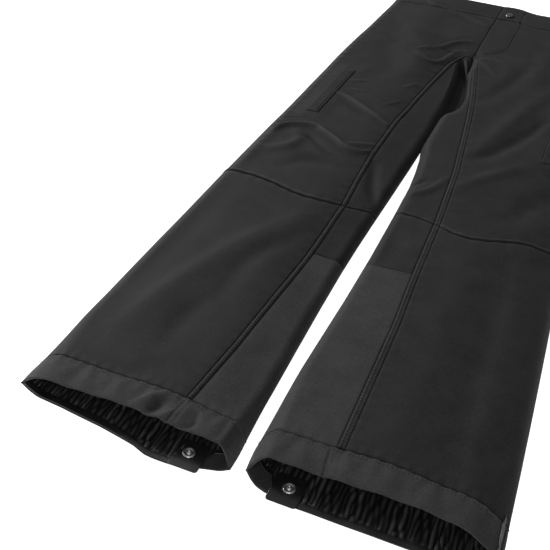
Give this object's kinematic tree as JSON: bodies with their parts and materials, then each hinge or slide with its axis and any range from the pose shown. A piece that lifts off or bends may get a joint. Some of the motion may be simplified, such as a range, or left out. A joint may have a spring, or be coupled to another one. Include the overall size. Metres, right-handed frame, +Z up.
{
  "type": "ski pants",
  "caption": "Bootcut softshell ski pants lying flat, with hollow legs, fly and tab, thigh zip pockets, kick patches and snap-tab snow gaiters inside the hems.",
  "frame": {"origin": "on the surface it lies on, under the middle of the garment's outline", "axes": "+Z up out of the front of the garment, +Y towards the waist, -X the wearer's right leg"},
  "size_m": [0.5, 1.069, 0.0351],
  "materials": {
    "softshell": "matte bonded softshell with a fine close weave",
    "kick_panel": "slightly lighter, tougher matte weave of the kick patch and hem band",
    "seam_tape": "felled seam, flat and matte",
    "gaiter_nylon": "thin coated nylon with a soft sheen, gathered",
    "lining": "fine knitted lining and zip tape",
    "zip_teeth": "moulded coil",
    "gunmetal": "dark satin metal",
    "bright_snap": "bright satin nickel"
  },
  "bodies": {
    "waist_and_thighs": {"front_thigh_panel_right": "softshell", "front_thigh_panel_left": "softshell", "inner_thigh_gusset_right": "softshell", "inner_thigh_gusset_left": "softshell", "back_thigh_panel_right": "softshell", "back_thigh_panel_left": "softshell", "pocket_welt_right": "softshell", "pocket_welt_left": "softshell", "waistband_front_left": "softshell", "waistband_front_right": "softshell", "waistband_back": "softshell", "princess_seam_strip_thigh_right": "seam_tape", "princess_seam_strip_thigh_left": "seam_tape", "knee_seam_strip_right": "seam_tape", "knee_seam_strip_left": "seam_tape", "fly_zip_shield": "lining", "fly_zip_tape_right": "lining", "fly_zip_tape_left": "lining", "pocket_zip_tape_right": "lining", "pocket_zip_tape_left": "lining", "pocket_bag_right": "lining", "pocket_bag_left": "lining", "fly_zip_chain": "zip_teeth", "pocket_zip_chain_right": "zip_teeth", "pocket_zip_chain_left": "zip_teeth", "fly_zip_bottom_stop": "gunmetal", "waist_snap_stud": "gunmetal"},
    "lower_leg_right": {"front_shin_panel_right": "softshell", "inner_shin_panel_right": "softshell", "kick_patch_right": "kick_panel", "princess_seam_strip_shin_right": "seam_tape", "back_shin_panel_right": "softshell", "hem_band_right": "kick_panel", "snow_gaiter_skirt_right": "gaiter_nylon"},
    "gaiter_right": {"gaiter_elastic_band_right": "gaiter_nylon", "gaiter_snap_socket_right": "bright_snap"},
    "gaiter_tab_right": {"gaiter_snap_tab_right": "gaiter_nylon", "gaiter_snap_stud_right": "bright_snap"},
    "pocket_slider_right": {"pocket_zip_slider_right": "gunmetal", "pocket_zip_pull_right": "gunmetal"},
    "lower_leg_left": {"front_shin_panel_left": "softshell", "inner_shin_panel_left": "softshell", "kick_patch_left": "kick_panel", "princess_seam_strip_shin_left": "seam_tape", "back_shin_panel_left": "softshell", "hem_band_left": "kick_panel", "snow_gaiter_skirt_left": "gaiter_nylon"},
    "gaiter_left": {"gaiter_elastic_band_left": "gaiter_nylon", "gaiter_snap_socket_left": "bright_snap"},
    "gaiter_tab_left": {"gaiter_snap_tab_left": "gaiter_nylon", "gaiter_snap_stud_left": "bright_snap"},
    "pocket_slider_left": {"pocket_zip_slider_left": "gunmetal", "pocket_zip_pull_left": "gunmetal"},
    "fly_and_tab": {"fly_flap": "softshell", "waistband_tab": "softshell", "waist_snap_cap": "gunmetal", "waist_snap_socket": "gunmetal"},
    "fly_slider": {"fly_zip_slider": "gunmetal", "fly_zip_pull": "gunmetal"}
  },
  "joints": [
    {"name": "knee_fold_right", "type": "hinge", "parent": "waist_and_thighs", "child": "lower_leg_right", "pos_m": [-0.122, -0.1075, 0.035], "axis": [-1, 0, 0], "range_deg": [0, 170]},
    {"name": "gaiter_pull_down_right", "type": "slide", "parent": "lower_leg_right", "child": "gaiter_right", "axis": [0, -1, 0], "range_m": [0, 0.06]},
    {"name": "gaiter_tab_lift_right", "type": "hinge", "parent": "gaiter_right", "child": "gaiter_tab_right", "pos_m": [-0.066, -0.5175, 0.0075], "axis": [0, -1, 0], "range_deg": [0, 32]},
    {"name": "pocket_zip_slide_right", "type": "slide", "parent": "waist_and_thighs", "child": "pocket_slider_right", "axis": [0.05, 0.9988, 0], "range_m": [-0.088, 0]},
    {"name": "knee_fold_left", "type": "hinge", "parent": "waist_and_thighs", "child": "lower_leg_left", "pos_m": [0.108, -0.1075, 0.035], "axis": [-1, 0, 0], "range_deg": [0, 170]},
    {"name": "gaiter_pull_down_left", "type": "slide", "parent": "lower_leg_left", "child": "gaiter_left", "axis": [0, -1, 0], "range_m": [0, 0.06]},
    {"name": "gaiter_tab_lift_left", "type": "hinge", "parent": "gaiter_left", "child": "gaiter_tab_left", "pos_m": [0.066, -0.5175, 0.0075], "axis": [0, 1, 0], "range_deg": [0, 32]},
    {"name": "pocket_zip_slide_left", "type": "slide", "parent": "waist_and_thighs", "child": "pocket_slider_left", "axis": [-0.05, 0.9988, 0], "range_m": [-0.088, 0]},
    {"name": "fly_flap_fold", "type": "hinge", "parent": "waist_and_thighs", "child": "fly_and_tab", "pos_m": [0.029, 0.4175, 0.033], "axis": [0, 1, 0], "range_deg": [0, 150]},
    {"name": "fly_zip_slide", "type": "slide", "parent": "waist_and_thighs", "child": "fly_slider", "axis": [0, 1, 0], "range_m": [-0.08, 0]}
  ]
}
